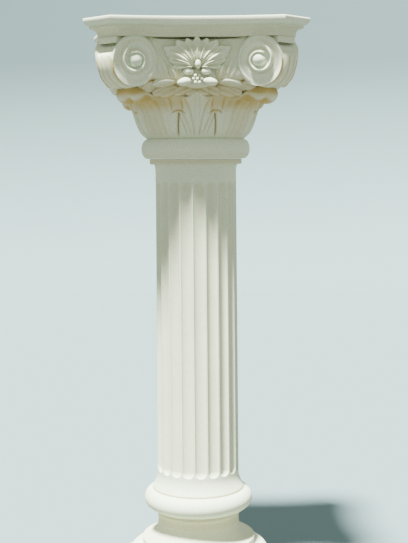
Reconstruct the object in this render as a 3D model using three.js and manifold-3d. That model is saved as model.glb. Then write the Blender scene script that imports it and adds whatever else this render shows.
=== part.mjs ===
// A free-standing pedestal column of cast stone in three castings: a moulded base, a fluted
// shaft and a composite capital. Millimetres, +Z up, origin under the middle of the plinth.
// The capital has four like faces: the one called the front looks along -Y.

import * as THREE from 'three';
import { mergeVertices } from 'three/addons/utils/BufferGeometryUtils.js';
import Module from 'manifold-3d';

const wasm = await Module();
wasm.setup();

// Driving dimensions of the base, from the ground up
const plinthWidth = 284;
const plinthHeight = 40;
const plinthEdge = 3;
const lowerTorusRadius = 138;
const lowerTorusHeight = 50;
const lowerFilletRadius = 110;
const lowerFilletHeight = 6;
const scotiaRadius = 76.5;
const scotiaHeight = 48;
const scotiaLowerShare = 0.65;
const scotiaUpperShare = 0.15;
const upperFilletRadius = 80;
const upperFilletHeight = 8;
const upperTorusRadius = 102;
const upperTorusHeight = 38;

// Driving dimensions of the shaft
const bedGap = 0.3;
const shaftHeight = 619;
const footFlare = 11;
const footFlareHeight = 30;
const lowerShaftRadius = 77;
const upperShaftRadius = 74.5;
const plainFootHeight = 34;
const plainNeckHeight = 31;
const ringRadius = 85;
const ringHeight = 9;
const neckFlare = 2.5;
const fluteCount = 20;
const fluteDepth = 6.5;
const arrisWidth = 2.4;
const fluteTurnDeg = 2.5;

// Driving dimensions of the capital, from its bed up
const astragalRadius = 100;
const astragalHeight = 36;
const astragalHalfWidth = 12;
const bellFootRadius = 89;
const leafRowHeight = 79;
const faceLeafRadius = 130;
const cornerLeafRadius = 192;
const faceLeafHalfAngle = 18.5;
const leafGapDepth = 8;
const leafRibHeight = 2.5;
const leafFoldDepth = 1.5;
const leafDip = 0.12;
const cornerLeafFromDeg = 27;
const cornerLeafToDeg = 42;
const friezeHeight = 91;
const coreHalfWidth = 136;
const coreCut = 34;
const coreHollow = 12;
const coreFootRise = 7;

// Driving dimensions of the volutes
const voluteHalfWidth = 39;
const voluteHalfHeight = 43.5;
const voluteEyeOffset = 104;
const voluteEyeReach = 162;
const voluteSwingDeg = 14;
const voluteLeanDeg = 9;
const voluteBevel = 8;
const channelDepth = 5;
const ridgeOuterRadius = 22;
const ridgeInnerRadius = 13;
const ridgeHalfWidth = 4.5;
const bulbRadius = 8.5;
const bandBulge = 10;
const cornerBlockWidth = 40;
const cornerBlockHeight = 11;

// Driving dimensions of the palmette and the flower on each face. The flower's reach is how far
// it stands out from the middle of the core's face.
const palmetteLength = 66;
const palmetteRootHeight = 40;
const palmetteLean = 22;
const palmetteThickness = 7;
const flowerHeight = 22;
const petalLength = 26;
const petalWidth = 16;
const flowerReach = 26;
const sprayLength = 32;
const sprayWidth = 18;

// Driving dimensions of the abacus
const abacusHalfWidth = 193;
const abacusCut = 47;
const abacusHollow = 17;
const abacusNoseHeight = 12.5;
const abacusNoseDepth = 9;
const abacusFilletHeight = 4.5;
const abacusCoveHeight = 10.5;
const abacusCoveDepth = 13;
const abacusFootHeight = 4;

// Fineness of the faceted surfaces
const baseSegments = 36;
const voluteSegments = 16;
const abacusArcSteps = 4;

// Heights worked out from the dimensions
const lowerTorusZ = plinthHeight;
const lowerFilletZ = lowerTorusZ + lowerTorusHeight;
const scotiaZ = lowerFilletZ + lowerFilletHeight;
const upperFilletZ = scotiaZ + scotiaHeight;
const upperTorusZ = upperFilletZ + upperFilletHeight;
const baseTopZ = upperTorusZ + upperTorusHeight;
const shaftZ = baseTopZ + bedGap;
const shaftTopZ = shaftZ + shaftHeight;
const capitalZ = shaftTopZ + bedGap;
const leafZ = capitalZ + astragalHeight;
const friezeZ = leafZ + leafRowHeight;
const abacusZ = friezeZ + friezeHeight;
const abacusHeight = abacusNoseHeight + abacusFilletHeight + abacusCoveHeight + abacusFootHeight;
const overlap = 2;

const rad = THREE.MathUtils.degToRad;
const lerp = THREE.MathUtils.lerp;
const smooth = THREE.MathUtils.smoothstep;

// Turns a closed geometry into a solid, with shared corners merged and collapsed faces dropped.
function solidOf(geometry) {
  const bare = new THREE.BufferGeometry();
  bare.setAttribute('position', geometry.getAttribute('position'));
  bare.setIndex(geometry.getIndex());
  const merged = mergeVertices(bare, 1e-3);
  const index = merged.getIndex().array;
  const faces = [];
  for (let i = 0; i < index.length; i += 3) {
    const [a, b, c] = index.slice(i, i + 3);
    if (a !== b && b !== c && c !== a) faces.push(a, b, c);
  }
  const vertProperties = new Float32Array(merged.getAttribute('position').array);
  const mesh = { numProp: 3, vertProperties, triVerts: new Uint32Array(faces) };
  const solid = new wasm.Manifold(new wasm.Mesh(mesh));
  if (solid.volume() > 0) return solid;
  const flipped = [];
  for (let i = 0; i < faces.length; i += 3) flipped.push(faces[i], faces[i + 2], faces[i + 1]);
  return new wasm.Manifold(new wasm.Mesh({ ...mesh, triVerts: new Uint32Array(flipped) }));
}

// Turns a solid back into a geometry that shades each facet flat.
function geometryOf(solid) {
  const mesh = solid.getMesh();
  const geometry = new THREE.BufferGeometry();
  geometry.setAttribute('position', new THREE.BufferAttribute(mesh.vertProperties, 3));
  geometry.setIndex(new THREE.BufferAttribute(mesh.triVerts, 1));
  const flat = geometry.toNonIndexed();
  flat.computeVertexNormals();
  return flat;
}

// Closes a stack of rings, each a loop of [x, y, z] points with the same count, into one skin.
function skin(rings) {
  const count = rings[0].length;
  const positions = rings.flat(2);
  const faces = [];
  for (let j = 0; j + 1 < rings.length; j++) {
    for (let i = 0; i < count; i++) {
      const here = j * count + i;
      const next = j * count + (i + 1) % count;
      faces.push(here, next, next + count, here, next + count, here + count);
    }
  }
  const ends = [rings[0], rings[rings.length - 1]];
  ends.forEach((ring, end) => {
    const middle = [0, 1, 2].map((k) => ring.reduce((sum, point) => sum + point[k], 0) / count);
    const hub = positions.length / 3;
    const first = end * (rings.length - 1) * count;
    positions.push(...middle);
    for (let i = 0; i < count; i++) {
      const pair = [first + i, first + (i + 1) % count];
      faces.push(hub, pair[1 - end], pair[end]);
    }
  });
  const geometry = new THREE.BufferGeometry();
  geometry.setAttribute('position', new THREE.Float32BufferAttribute(positions, 3));
  geometry.setIndex(faces);
  return geometry;
}

// A profile of [radius, height] points turned round the column's axis.
function turned(profile, segments) {
  const points = profile.map(([r, z]) => new THREE.Vector2(r, z));
  return new THREE.LatheGeometry(points, segments).rotateX(Math.PI / 2);
}

// Points along an elliptical arc in a profile, angles in degrees.
function arc(centreR, centreZ, radiusR, radiusZ, fromDeg, toDeg, steps) {
  return Array.from({ length: steps + 1 }, (_, i) => {
    const angle = rad(lerp(fromDeg, toDeg, i / steps));
    return [centreR + radiusR * Math.cos(angle), centreZ + radiusZ * Math.sin(angle)];
  });
}

// Base: a square plinth with a turned stack of mouldings on it
function makeBase() {
  const half = plinthWidth / 2 - plinthEdge;
  const square = new THREE.Shape([[-half, -half], [half, -half], [half, half], [-half, half]]
    .map(([x, y]) => new THREE.Vector2(x, y)));
  const plinth = new THREE.ExtrudeGeometry(square, {
    depth: plinthHeight - 2 * plinthEdge,
    bevelThickness: plinthEdge,
    bevelSize: plinthEdge,
    bevelSegments: 1,
  }).translate(0, 0, plinthEdge);
  const lowerHalf = lowerTorusHeight / 2;
  const upperHalf = upperTorusHeight / 2;
  const lipRadius = lowerFilletRadius - 1;
  const lowerPart = scotiaHeight * scotiaLowerShare;
  const profile = [
    [0, lowerTorusZ - plinthHeight / 2],
    [lowerTorusRadius - lowerHalf, lowerTorusZ - plinthHeight / 2],
    ...arc(lowerTorusRadius - lowerHalf, lowerTorusZ + lowerHalf, lowerHalf, lowerHalf, -75, 75, 6),
    [lowerFilletRadius, lowerFilletZ],
    [lowerFilletRadius, scotiaZ],
    ...arc(lipRadius, scotiaZ + lowerPart, lipRadius - scotiaRadius, lowerPart, 270, 180, 4),
    [scotiaRadius, upperFilletZ - scotiaHeight * scotiaUpperShare],
    [upperFilletRadius - 1, upperFilletZ],
    [upperFilletRadius, upperTorusZ],
    ...arc(upperTorusRadius - upperHalf, upperTorusZ + upperHalf, upperHalf, upperHalf, -70, 68, 6),
    [lowerShaftRadius + footFlare, baseTopZ],
    [0, baseTopZ],
  ];
  return geometryOf(solidOf(plinth).add(solidOf(turned(profile, baseSegments))));
}

// Shaft: rings of points, pulled in where a flute runs
function makeShaft() {
  const fluteFootZ = shaftZ + plainFootHeight;
  const fluteHeadZ = shaftTopZ - ringHeight - plainNeckHeight;
  const neckZ = shaftTopZ - ringHeight;
  const pitch = 2 * Math.PI / fluteCount;
  const halfFlute = (lowerShaftRadius * pitch - arrisWidth) / 2;
  const radiusAt = (z) => {
    const share = (z - shaftZ) / shaftHeight;
    const foot = Math.max(0, 1 - (z - shaftZ) / footFlareHeight);
    const neck = Math.max(0, 1 - (neckZ - z) / (plainNeckHeight / 2));
    return lerp(lowerShaftRadius, upperShaftRadius, share) + footFlare * foot ** 2 + neckFlare * neck ** 2;
  };
  const depthAt = (offset, z) => {
    const beyond = Math.max(fluteFootZ + halfFlute - z, z - (fluteHeadZ - halfFlute), 0);
    const inside = 1 - (offset ** 2 + beyond ** 2) / halfFlute ** 2;
    return fluteDepth * Math.sqrt(Math.max(0, inside));
  };
  const offsets = [-0.5, -0.26, 0, 0.26];
  const ring = (z, radius = radiusAt(z)) => {
    const points = [];
    for (let k = 0; k < fluteCount; k++) {
      for (const offset of offsets) {
        const angle = rad(fluteTurnDeg - 90) + (k + offset) * pitch;
        const r = radius - depthAt(offset * pitch * lowerShaftRadius, z);
        points.push([r * Math.cos(angle), r * Math.sin(angle), z]);
      }
    }
    return points;
  };
  const scoop = [0, 0.35, 1].map((share) => share * halfFlute);
  const heights = [
    ...[0, 0.2, 0.5, 1].map((share) => shaftZ + share * footFlareHeight),
    ...scoop.map((step) => fluteFootZ + step),
    ...scoop.map((step) => fluteHeadZ - step).reverse(),
    neckZ - plainNeckHeight / 2,
    neckZ,
  ];
  const flat = [ring(neckZ + 0.5, ringRadius), ring(shaftTopZ, ringRadius)];
  return geometryOf(solidOf(skin([...heights.map((z) => ring(z)), ...flat])));
}

// Outlines of a leaf, as shares of how far it reaches out from the bell's foot and of its height.
const faceLeafOutline = [
  [0, 0], [0.27, 0.14], [0.46, 0.33], [0.6, 0.55], [0.72, 0.73], [0.84, 0.86], [0.94, 0.93],
  [1, 0.98], [0.96, 1.03], [0.82, 1.03], [0.58, 0.98], [0.5, 1.06],
];
const cornerLeafOutline = [
  [0, 0], [0.1, 0.14], [0.19, 0.35], [0.26, 0.58], [0.38, 0.75], [0.54, 0.81], [0.66, 0.77],
  [0.79, 0.71], [0.93, 0.77], [1, 0.93], [0.9, 1.06], [0.58, 1.12],
];

// Bell: the astragal and the row of eight leaves, with the corner leaves reaching out
function makeBell() {
  const half = faceLeafHalfAngle;
  const steps = [0, half * 0.3, half * 0.6, half, half + 8, half + 16, 45];
  const carvingAt = [
    leafRibHeight, -leafFoldDepth, leafFoldDepth, -leafGapDepth, leafFoldDepth, -leafFoldDepth,
    leafRibHeight,
  ];
  const angles = [];
  for (let quarter = 0; quarter < 4; quarter++) {
    const right = steps.slice(0, -1).map((step) => quarter * 90 + step);
    const left = steps.slice(1).reverse().map((step) => quarter * 90 + 90 - step);
    angles.push(...right, ...left);
  }
  const folded = (angle) => Math.abs(((angle + 45) % 90) - 45);
  const circle = (radius, z) => angles.map((angle) => [
    radius * Math.cos(rad(angle - 90)), radius * Math.sin(rad(angle - 90)), z,
  ]);
  const torus = arc(
    astragalRadius - astragalHalfWidth, capitalZ + astragalHeight / 2,
    astragalHalfWidth, astragalHeight / 2, -80, 76, 5,
  );
  const leafRing = (row) => angles.map((angle) => {
    const turn = steps.reduce((near, step) => (
      Math.abs(folded(angle) - step) < Math.abs(folded(angle) - near) ? step : near
    ));
    const corner = smooth(turn, cornerLeafFromDeg, cornerLeafToDeg);
    const [faceOut, faceUp] = faceLeafOutline[row];
    const [cornerOut, cornerUp] = cornerLeafOutline[row];
    const dip = leafDip * (1 - corner)
      * (smooth(turn, 2, half * 0.5) - smooth(turn, half * 0.6, half) / 2);
    const onLeaf = row > 0 && row < 8 ? 1 : 0;
    const carving = carvingAt[steps.indexOf(turn)];
    const isGap = carving === -leafGapDepth && faceUp > 0.6 ? 0 : 1;
    const reach = lerp(
      faceOut * (faceLeafRadius - bellFootRadius),
      cornerOut * (cornerLeafRadius - bellFootRadius), corner,
    );
    const r = bellFootRadius + reach + onLeaf * isGap * carving;
    const z = leafZ + leafRowHeight * lerp(faceUp, cornerUp, corner) * (1 - dip);
    return [r * Math.cos(rad(angle - 90)), r * Math.sin(rad(angle - 90)), z];
  });
  const rings = [
    ...torus.map(([r, z]) => circle(r, z)),
    ...faceLeafOutline.map((_, row) => leafRing(row)),
    circle(lerp(bellFootRadius, faceLeafRadius, 0.46), friezeZ + friezeHeight / 4),
  ];
  return solidOf(skin([circle(ringRadius, capitalZ), ...rings]));
}

// The plan of the abacus and of the core: hollow sides that end in cut corners.
function plan(halfWidth, cut, hollow, steps) {
  const inner = halfWidth - cut;
  const points = [];
  for (let quarter = 0; quarter < 4; quarter++) {
    for (let i = 0; i <= steps; i++) {
      const share = 2 * i / steps - 1;
      const x = share * inner;
      const y = -halfWidth + hollow * (1 - share ** 2);
      const turn = quarter * Math.PI / 2;
      points.push([
        x * Math.cos(turn) - y * Math.sin(turn), x * Math.sin(turn) + y * Math.cos(turn),
      ]);
    }
  }
  return points;
}

// Abacus: the plan drawn in step by step below the rounded nose
function makeAbacus() {
  const footInset = abacusNoseDepth + 1 + abacusCoveDepth;
  const filletZ = abacusZ + abacusFootHeight + abacusCoveHeight;
  const noseZ = filletZ + abacusFilletHeight;
  const topZ = abacusZ + abacusHeight;
  const profile = [
    [footInset, abacusZ],
    [footInset, abacusZ + abacusFootHeight],
    [footInset - abacusCoveDepth * 0.3, abacusZ + abacusFootHeight + abacusCoveHeight * 0.6],
    [abacusNoseDepth + 1, filletZ],
    [abacusNoseDepth, noseZ],
    [abacusNoseDepth * 0.25, noseZ + abacusNoseHeight * 0.2],
    [0, noseZ + abacusNoseHeight * 0.55],
    [0, topZ - 1],
    [1.5, topZ],
  ];
  return solidOf(skin(profile.map(([inset, z]) => (
    plan(abacusHalfWidth - inset, abacusCut - inset * 0.4, abacusHollow, abacusArcSteps)
      .map(([x, y]) => [x, y, z])
  ))));
}

// Core: the hollow-sided block behind volutes and palmettes
function makeCore() {
  return solidOf(skin([friezeZ + coreFootRise, abacusZ + overlap].map((z) => (
    plan(coreHalfWidth, coreCut, coreHollow, 3).map(([x, y]) => [x, y, z])
  ))));
}

// A point of the right-hand volute of the front face: u towards the corner, v up, w out.
const swing = rad(voluteSwingDeg);
const lean = rad(voluteLeanDeg);
const eye = new THREE.Vector3(
  voluteEyeOffset, -voluteEyeReach, abacusZ - voluteHalfHeight * Math.cos(lean) + overlap,
);
const along = new THREE.Vector3(Math.cos(swing), -Math.sin(swing), 0);
const outward = new THREE.Vector3(
  -Math.sin(swing) * Math.cos(lean), -Math.cos(swing) * Math.cos(lean), -Math.sin(lean),
);
const upward = outward.clone().cross(along);
function volutePoint(u, v, w) {
  return eye.clone().addScaledVector(along, u).addScaledVector(upward, v)
    .addScaledVector(outward, w).toArray();
}

// Scroll: both volutes of one corner and the band that bulges between them
function makeScroll() {
  const loops = [];
  const angles = Array.from(
    { length: voluteSegments }, (_, i) => Math.PI / 2 - (i + 0.5) * 2 * Math.PI / voluteSegments,
  );
  const rimAt = (angle, share) => [
    voluteHalfWidth * share * Math.cos(angle), voluteHalfHeight * share * Math.sin(angle),
  ];
  const ridgeAt = (i) => lerp(ridgeOuterRadius, ridgeInnerRadius, (i + 0.5) / voluteSegments);
  const circleLoop = (radiusOf, w) => angles.map((angle, i) => (
    volutePoint(radiusOf(i) * Math.cos(angle), radiusOf(i) * Math.sin(angle), w)
  ));
  loops.push(circleLoop(() => bulbRadius * 0.5, 1.5));
  loops.push(circleLoop(() => bulbRadius, -channelDepth * 0.6));
  loops.push(circleLoop((i) => ridgeAt(i), 0));
  loops.push(circleLoop((i) => ridgeAt(i) + ridgeHalfWidth, -channelDepth));
  loops.push(angles.map((angle) => volutePoint(...rimAt(angle, 0.9), -channelDepth * 0.3)));
  loops.push(angles.map((angle) => volutePoint(...rimAt(angle, 0.94), 0)));
  loops.push(angles.map((angle) => volutePoint(...rimAt(angle, 1), -voluteBevel)));
  const mirrored = loops.map((loop) => loop.map(([x, y, z]) => [-y, -x, z])).reverse();
  const bulge = bandBulge / Math.SQRT2;
  const middle = loops[loops.length - 1].map(([x, y, z], i) => {
    const away = Math.max(0, Math.cos(angles[i]));
    const half = (x - y) / 2 + bulge * away;
    return [half, -half, z - bandBulge * Math.max(0, -Math.sin(angles[i]))];
  });
  return solidOf(skin([...loops, middle, ...mirrored]));
}

// Corner block: the small block between the volutes' band and the abacus
function makeCornerBlock() {
  const footInset = abacusNoseDepth + 1 + abacusCoveDepth;
  const outer = (2 * (abacusHalfWidth - footInset) - abacusCut) / Math.SQRT2;
  const depth = outer / 3;
  const height = cornerBlockHeight + 2 * overlap;
  return solidOf(new THREE.BoxGeometry(depth, cornerBlockWidth, height)
    .translate(outer - depth / 2, 0, abacusZ + overlap - height / 2)
    .rotateZ(-Math.PI / 4));
}

// Closes a front grid of points against a back plane at the given reach from the axis.
function relief(grid, backReach) {
  const rows = grid.length;
  const columns = grid[0].length;
  const at = (i, j) => grid[i][j];
  const edge = [];
  for (let j = 0; j < columns; j++) edge.push([0, j]);
  for (let i = 1; i < rows; i++) edge.push([i, columns - 1]);
  for (let j = columns - 2; j >= 0; j--) edge.push([rows - 1, j]);
  for (let i = rows - 2; i > 0; i--) edge.push([i, 0]);
  const positions = [];
  const faces = [];
  grid.forEach((row) => row.forEach((point) => positions.push(...point)));
  for (let i = 0; i + 1 < rows; i++) {
    for (let j = 0; j + 1 < columns; j++) {
      const a = i * columns + j;
      faces.push(a, a + 1, a + columns + 1, a, a + columns + 1, a + columns);
    }
  }
  const back = positions.length / 3;
  edge.forEach(([i, j]) => positions.push(at(i, j)[0], -backReach, at(i, j)[2]));
  const hub = positions.length / 3;
  const [middleX, , middleZ] = at(rows >> 1, columns >> 1);
  positions.push(middleX, -backReach, middleZ);
  edge.forEach(([i, j], k) => {
    const next = (k + 1) % edge.length;
    const here = i * columns + j;
    const there = edge[next][0] * columns + edge[next][1];
    faces.push(here, back + k, there, there, back + k, back + next, back + k, hub, back + next);
  });
  const geometry = new THREE.BufferGeometry();
  geometry.setAttribute('position', new THREE.Float32BufferAttribute(positions, 3));
  geometry.setIndex(faces);
  return solidOf(geometry);
}

// Palmette: a fan of five lobes with a rib in each, leaning out towards the abacus. Each ray
// is an angle from the right, with its length as a share of the longest lobe's.
const palmetteRays = [
  [-4, 0.34], [14, 0.8], [28, 1], [42, 0.74], [56, 0.87], [73, 0.64], [90, 0.77],
];
function makePalmette() {
  const rootZ = friezeZ + palmetteRootHeight;
  const coreFront = coreHalfWidth - coreHollow;
  const mirrored = palmetteRays.slice(0, -1).reverse().map(([angle, share]) => [180 - angle, share]);
  const grid = [...palmetteRays, ...mirrored].map(([angle, share], i) => (
    [0.12, 0.55, 1].map((step) => {
      const out = palmetteLength * share * step;
      const rise = Math.sin(rad(angle));
      const rib = palmetteThickness * (step < 1 && i % 2 === 0 ? 1.4 : 0.7);
      const leaning = palmetteLean * (step * share) ** 2 * Math.max(0.3, rise);
      return [out * Math.cos(rad(angle)), -coreFront - rib - leaning, rootZ + out * rise];
    })
  ));
  return relief(grid, coreFront - 4);
}

// An egg-shaped lobe of a flower or spray, laid against the core, turned in its plane and
// standing out from it by the given reach.
function lobe(x, z, length, width, turnDeg, reach) {
  return solidOf(new THREE.SphereGeometry(0.5, 6, 3)
    .scale(length, 2 * reach + width / 2, width)
    .rotateY(-rad(turnDeg))
    .translate(x, -coreHalfWidth + coreHollow - width / 4, z));
}

// The lobes of the flower and of its spray right of the middle, each by how far across it lies,
// how far over the flower's middle and how far behind the flower's reach.
const flowerLobes = [
  { across: 17, over: 13.6, length: petalLength, width: petalWidth, turnDeg: 25, behind: 6 },
  { across: 21, over: -5, length: petalLength, width: petalWidth, turnDeg: -8, behind: 4 },
  { across: 43, over: 14.4, length: sprayLength, width: sprayWidth, turnDeg: 60, behind: 12 },
  { across: 59, over: -5.4, length: sprayLength, width: sprayWidth, turnDeg: 12, behind: 12 },
];

// Flower and sprays: four petals round a bead cluster, and a curled spray on each side
function makeFlower() {
  const z = friezeZ + flowerHeight;
  const pieces = [lobe(0, z, flowerHeight, flowerHeight, 0, flowerReach)];
  for (const side of [-1, 1]) {
    for (const { across, over, length, width, turnDeg, behind } of flowerLobes) {
      pieces.push(lobe(side * across, z + over, length, width, side * turnDeg, flowerReach - behind));
    }
  }
  return wasm.Manifold.union(pieces);
}

// Capital: everything from the astragal up, cast as one
function makeCapital() {
  const pieces = [makeBell(), makeCore(), makeAbacus()];
  const perFace = [makeScroll(), makeCornerBlock(), makePalmette(), makeFlower()];
  for (let quarter = 0; quarter < 4; quarter++) {
    pieces.push(...perFace.map((piece) => piece.rotate([0, 0, 90 * quarter])));
  }
  return geometryOf(wasm.Manifold.union(pieces));
}

// The stone, a creamy off-white cast
const stone = { color: 0xe9e7da, roughness: 0.9, metalness: 0 };

const column = new THREE.Group();
const castings = { base: makeBase, shaft: makeShaft, capital: makeCapital };
for (const [name, make] of Object.entries(castings)) {
  const mesh = new THREE.Mesh(make(), new THREE.MeshStandardMaterial(stone));
  mesh.name = name;
  column.add(mesh);
}

export default column;
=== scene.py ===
# Dresses the three castings of a composite pedestal column, on a pale studio floor.

import math

import bpy
import numpy as np
from mathutils import Matrix, Vector


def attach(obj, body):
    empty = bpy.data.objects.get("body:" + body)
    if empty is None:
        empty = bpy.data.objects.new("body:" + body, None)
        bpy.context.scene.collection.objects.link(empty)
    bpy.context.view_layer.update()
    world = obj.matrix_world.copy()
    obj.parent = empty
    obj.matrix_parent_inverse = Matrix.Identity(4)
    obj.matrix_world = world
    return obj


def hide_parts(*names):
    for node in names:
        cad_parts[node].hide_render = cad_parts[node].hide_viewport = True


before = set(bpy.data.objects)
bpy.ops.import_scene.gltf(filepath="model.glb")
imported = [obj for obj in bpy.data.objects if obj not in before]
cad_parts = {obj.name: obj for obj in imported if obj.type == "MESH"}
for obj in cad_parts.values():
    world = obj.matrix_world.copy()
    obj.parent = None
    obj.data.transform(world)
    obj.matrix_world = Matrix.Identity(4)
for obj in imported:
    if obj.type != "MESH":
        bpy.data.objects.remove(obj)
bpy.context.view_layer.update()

bl_info = {
    "name": "Composite Pedestal Column",
    "version": (1, 0, 0),
    "blender": (4, 5, 0),
    "location": "View3D > Sidebar > Column",
    "description": "Builds a cast stone pedestal column with a fluted shaft and a composite capital",
    "category": "Add Mesh",
}

MM = 0.001


def length(label, about, value):
    """A length property with its default in millimetres."""
    return bpy.props.FloatProperty(
        name=label, description=about, default=value * MM, unit="LENGTH", subtype="DISTANCE"
    )


def count(label, about, value):
    """A whole-number property."""
    return bpy.props.IntProperty(name=label, description=about, default=value, min=2)


def angle(label, about, degrees):
    """An angle property with its default in degrees."""
    return bpy.props.FloatProperty(
        name=label, description=about, default=math.radians(degrees), unit="ROTATION", subtype="ANGLE"
    )


def colour(label, about, value):
    """A colour property."""
    return bpy.props.FloatVectorProperty(
        name=label, description=about, default=value, size=3, min=0, max=1, subtype="COLOR"
    )


class BaseSizes(bpy.types.PropertyGroup):
    """Sizes of the moulded base, from the ground up"""

    plinth_width: length("Plinth width", "Side of the square plinth", 280)
    plinth_height: length("Plinth height", "Height of the square plinth", 33.5)
    plinth_edge: length("Plinth edge", "Rounding of the plinth's edges", 3)
    plinth_cut: length("Plinth cut", "How much of each corner of the plinth is cut off", 9.8)
    lower_torus_radius: length("Lower torus radius", "Outer radius of the lower torus", 134.5)
    lower_torus_height: length("Lower torus height", "Height of the lower torus", 48.5)
    lower_fillet_radius: length("Lower fillet radius", "Radius of the band over the lower torus", 106.5)
    lower_fillet_height: length("Lower fillet height", "Height of the band over the lower torus", 14)
    scotia_radius: length("Scotia radius", "Radius at the waist of the hollow moulding", 76.5)
    scotia_height: length("Scotia height", "Height of the hollow moulding", 48)
    upper_fillet_radius: length("Upper fillet radius", "Radius of the band under the upper torus", 80)
    upper_fillet_height: length("Upper fillet height", "Height of the band under the upper torus", 8)
    upper_torus_radius: length("Upper torus radius", "Outer radius of the upper torus", 102)
    upper_torus_height: length("Upper torus height", "Height of the upper torus", 38)
    bed_radius: length("Bed radius", "Radius of the flat bed that carries the shaft", 88)


class ShaftSizes(bpy.types.PropertyGroup):
    """Sizes of the fluted shaft"""

    foot_z: length("Foot height", "Height of the shaft's underside", 190.3)
    height: length("Height", "Height of the shaft", 619)
    foot_flare: length("Foot flare", "How far the foot spreads", 11)
    foot_flare_height: length("Foot flare height", "Height over which the foot spreads", 30)
    joint_height: length("Joint height", "Height of the rounded edge at the foot's joint", 3)
    joint_depth: length("Joint depth", "Depth of the rounded edge at the foot's joint", 1.6)
    lower_radius: length("Lower radius", "Radius over the arrises at the foot", 77)
    upper_radius: length("Upper radius", "Radius over the arrises at the neck", 74.5)
    plain_foot: length("Plain foot", "Plain height below the flutes", 34)
    plain_neck: length("Plain neck", "Plain height above the flutes", 31)
    ring_radius: length("Ring radius", "Radius of the flat ring at the top", 85)
    ring_height: length("Ring height", "Height of the flat ring at the top", 9)
    neck_flare: length("Neck flare", "How far the neck spreads under the ring", 2.5)
    flutes: count("Flutes", "Number of flutes round the shaft", 20)
    flute_depth: length("Flute depth", "Depth of each flute", 6.5)
    arris_width: length("Arris width", "Width of the edge between two flutes", 2.4)
    flute_turn: angle("Flute turn", "Turn of the flutes about the axis", 2.5)


class BellSizes(bpy.types.PropertyGroup):
    """Sizes of the capital's astragal and its row of leaves"""

    foot_z: length("Foot height", "Height of the capital's underside", 809.6)
    astragal_radius: length("Astragal radius", "Outer radius of the round moulding", 100)
    astragal_height: length("Astragal height", "Height of the round moulding", 36)
    foot_radius: length("Foot radius", "Radius at the foot of the leaves", 89)
    leaf_height: length("Leaf height", "Height of the row of leaves", 79)
    face_leaf_radius: length("Face leaf radius", "Reach of the leaf on each face", 130)
    corner_leaf_radius: length("Corner leaf radius", "Reach of the leaf under each corner", 192)
    leaf_half_angle: angle("Leaf half angle", "Half of the angle that a face leaf spans", 18.5)
    gap_depth: length("Gap depth", "Depth of the groove between two leaves", 6)
    vein_depth: length("Vein depth", "Depth of the veins", 2)
    midrib_height: length("Midrib height", "Height of a leaf's midrib", 2.2)


class VoluteSizes(bpy.types.PropertyGroup):
    """Sizes of the corner volutes"""

    half_width: length("Half width", "Half of a volute's width", 39)
    half_height: length("Half height", "Half of a volute's height", 43.5)
    eye_offset: length("Eye offset", "Distance of the eye from the middle of the face", 104)
    eye_reach: length("Eye reach", "Distance of the eye in front of the axis", 162)
    swing: angle("Swing", "Turn of each volute towards the middle of its face", 14)
    lean: angle("Lean", "Lean of each volute outwards at the top", 10)
    bevel: length("Bevel", "Depth of the rim's bevel", 8)
    dish: length("Dish", "How far the rim stands out on the corner's side", 3.6)
    lip: length("Lip", "Height of the lip inside the bevelled rim", 2.4)
    channel_depth: length("Channel depth", "Depth of the spiral channel", 5.5)
    border_depth: length("Border depth", "Depth of the plain border round the channel", 3.2)
    ridge_start: length("Ridge start", "Distance of the spiral ridge from the eye where it starts", 31)
    ridge_end: length("Ridge end", "Distance of the spiral ridge from the eye where it ends", 14.5)
    ridge_width: length("Ridge width", "Width of the spiral ridge", 5.8)
    ridge_height: length("Ridge height", "How far the spiral ridge stands out", 3.1)
    bulb_radius: length("Bulb radius", "Radius of the ball at the eye", 12.3)
    bulb_height: length("Bulb height", "How far the ball at the eye stands out", 5.5)
    band_bulge: length("Band bulge", "How far the band between two volutes swells", 3)
    band_hollow: length("Band hollow", "Depth of the hollow in the band over its tongues", 10)
    tongue_top: length("Tongue top", "Height of the tongues' tops over the eye", 13)
    tongue_height: length("Tongue height", "How far the tongues on the band stand out", 3.4)
    block_width: length("Block width", "Width of the block over the band", 44)
    block_height: length("Block height", "Height of the block over the band", 11)
    block_reach: length("Block reach", "How far forward the block's face is set", 8)


class OrnamentSizes(bpy.types.PropertyGroup):
    """Sizes of the palmette, the flower and the sprays on each face"""

    palmette_height: length("Palmette height", "Height of the middle lobe over the root", 53)
    palmette_root: length("Palmette root", "Height of the palmette's root over the leaves", 40)
    palmette_root_reach: length("Palmette root reach", "How far the root stands off the core", 23)
    rib_height: length("Rib height", "Height of the palmette's ribs", 3.8)
    flower_z: length("Flower height", "Height of the flower over the leaves", 22)
    flower_reach: length("Flower reach", "Distance of the flower in front of the axis", 150)
    bead_radius: length("Bead radius", "Radius of a bead in the flower's middle", 3)


class AbacusSizes(bpy.types.PropertyGroup):
    """Sizes of the abacus and of the core under it"""

    half_width: length("Half width", "Half of the width over the rounded nose", 193)
    cut: length("Cut", "How much of each corner is cut off, along a side", 47)
    hollow: length("Hollow", "How far each side is hollowed in the middle", 17)
    nose_height: length("Nose height", "Height of the rounded nose", 12.5)
    nose_depth: length("Nose depth", "How far the nose stands out", 9)
    fillet_height: length("Fillet height", "Height of the flat band under the nose", 4.5)
    cove_height: length("Cove height", "Height of the hollow moulding", 10.5)
    cove_depth: length("Cove depth", "Depth of the hollow moulding", 13)
    foot_height: length("Foot height", "Height of the flat foot", 4)
    core_half_width: length("Core half width", "Half of the width of the core behind the volutes", 136)
    core_cut: length("Core cut", "How much of the core's corners is cut off", 34)
    core_hollow: length("Core hollow", "How far the core's sides are hollowed", 12)
    frieze_height: length("Frieze height", "Height between the leaves and the abacus", 91)


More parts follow.
